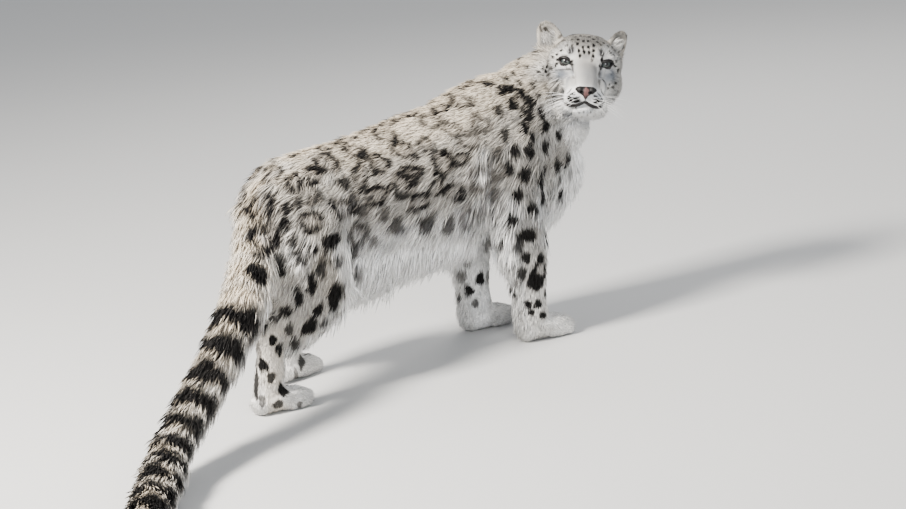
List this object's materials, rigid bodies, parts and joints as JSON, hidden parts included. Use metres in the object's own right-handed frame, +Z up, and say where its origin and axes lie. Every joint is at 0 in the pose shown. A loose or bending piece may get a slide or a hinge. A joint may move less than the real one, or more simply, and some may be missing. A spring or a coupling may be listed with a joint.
{
  "type": "snow leopard",
  "caption": "Life-size standing snow leopard, long-coated, head turned back over the right shoulder, thick tail trailing down to the floor; a still figure.",
  "frame": {"origin": "middle of the bounding box's footprint, on the floor under the feet", "axes": "+X the way the body points, along the longest extent; +Y the animal's left; +Z up"},
  "size_m": [1.7182, 0.9232, 0.6844],
  "materials": {
    "coat": "soft matt fur, pale grey to cream with dark rosettes",
    "eye": "wet, glossy"
  },
  "bodies": {
    "root": {"head": "coat", "neck": "coat", "torso": "coat", "tail_base": "coat", "tail_middle": "coat", "tail_tip": "coat", "leg_fore_right": "coat", "leg_fore_left": "coat", "leg_hind_right": "coat", "leg_hind_left": "coat", "ear_right": "coat", "ear_left": "coat", "eye_right": "eye", "eye_left": "eye"}
  },
  "joints": []
}
